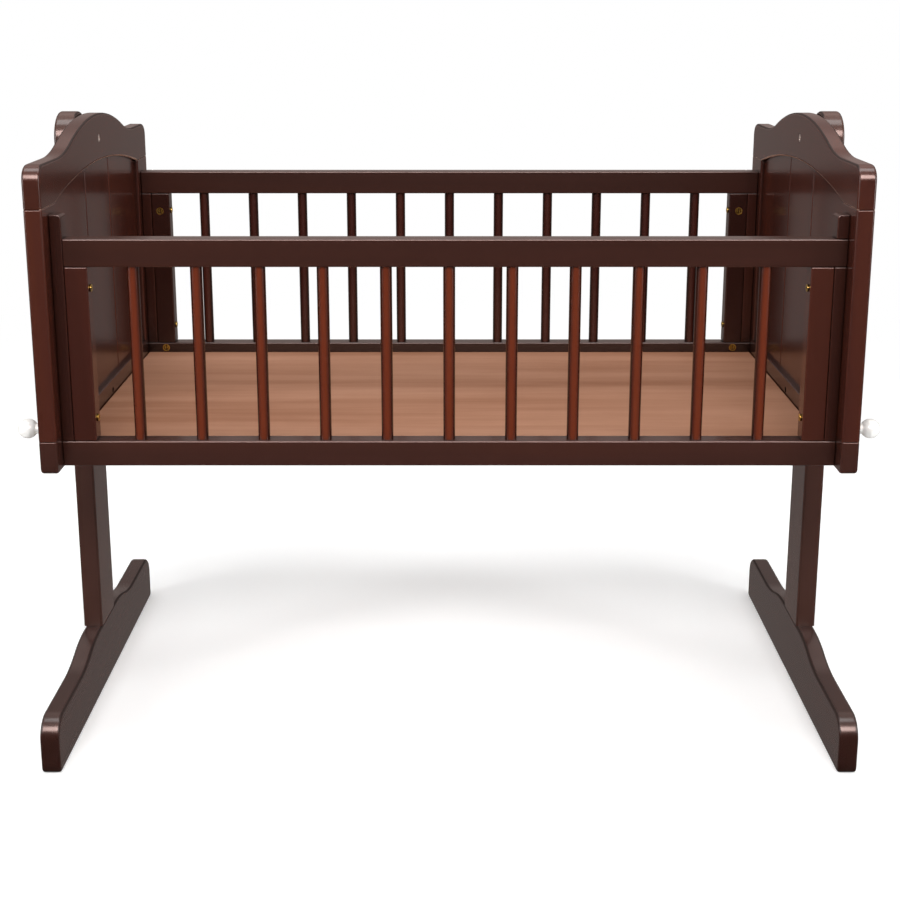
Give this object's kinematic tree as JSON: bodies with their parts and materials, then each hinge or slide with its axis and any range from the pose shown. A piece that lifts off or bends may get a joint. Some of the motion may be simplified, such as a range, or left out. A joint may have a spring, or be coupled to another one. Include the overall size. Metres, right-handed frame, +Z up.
{
  "type": "swinging cradle on stand",
  "caption": "Slatted wooden baby cradle hung from pivot bolts between two posts of a footed stand, with arched end panels and pull-out swing locks.",
  "frame": {"origin": "on the floor, in the middle of the cradle's length and depth", "axes": "+X along the cradle to the right end, +Y from the front side to the back side, +Z up"},
  "size_m": [1.032, 0.545, 0.7989],
  "materials": {
    "dark_wood": "satin dark brown stain",
    "panel_wood": "satin dark brown stain",
    "turned_wood": "satin red-brown stain",
    "board_wood": "matt light brown",
    "dowel_wood": "raw",
    "brass": "satin",
    "dark_steel": "dark oxide",
    "pin_steel": "satin",
    "bush_nylon": "matt",
    "knob_plastic": "gloss"
  },
  "bodies": {
    "stand": {"left_foot": "dark_wood", "right_foot": "dark_wood", "left_post": "dark_wood", "right_post": "dark_wood", "stretcher": "dark_wood", "foot_bolts": "dark_steel", "stretcher_bolts": "dark_steel", "stand_nuts": "dark_steel", "left_pivot_bolt": "dark_steel", "right_pivot_bolt": "dark_steel", "pivot_washers": "dark_steel", "pivot_nuts": "dark_steel"},
    "cradle": {"left_crest": "dark_wood", "right_crest": "dark_wood", "left_front_stile": "dark_wood", "left_back_stile": "dark_wood", "right_front_stile": "dark_wood", "right_back_stile": "dark_wood", "left_end_rail": "dark_wood", "right_end_rail": "dark_wood", "left_beadboard": "panel_wood", "right_beadboard": "panel_wood", "left_pivot_bush": "bush_nylon", "right_pivot_bush": "bush_nylon", "left_front_cleat": "dark_wood", "left_back_cleat": "dark_wood", "right_front_cleat": "dark_wood", "right_back_cleat": "dark_wood", "front_top_rail": "dark_wood", "back_top_rail": "dark_wood", "front_bottom_rail": "dark_wood", "back_bottom_rail": "dark_wood", "left_front_upright": "dark_wood", "left_back_upright": "dark_wood", "right_front_upright": "dark_wood", "right_back_upright": "dark_wood", "front_spindles": "turned_wood", "back_spindles": "turned_wood", "mattress_board": "board_wood", "front_ledger": "dark_wood", "back_ledger": "dark_wood", "left_ledger": "dark_wood", "right_ledger": "dark_wood", "frame_dowels": "dowel_wood", "frame_bolts": "brass", "barrel_nuts": "brass", "upright_screws": "brass", "cleat_screws": "dark_steel", "ledger_screws": "dark_steel"},
    "left_pin": {"left_lock_pin": "pin_steel", "left_knob": "knob_plastic"},
    "right_pin": {"right_lock_pin": "pin_steel", "right_knob": "knob_plastic"}
  },
  "joints": [
    {"name": "cradle_swing", "type": "hinge", "parent": "stand", "child": "cradle", "pos_m": [0, 0, 0.764], "axis": [1, 0, 0], "range_deg": [-12, 12]},
    {"name": "left_pin_slide", "type": "slide", "parent": "cradle", "child": "left_pin", "axis": [-1, 0, 0], "range_m": [0, 0.04]},
    {"name": "right_pin_slide", "type": "slide", "parent": "cradle", "child": "right_pin", "axis": [1, 0, 0], "range_m": [0, 0.04]}
  ]
}
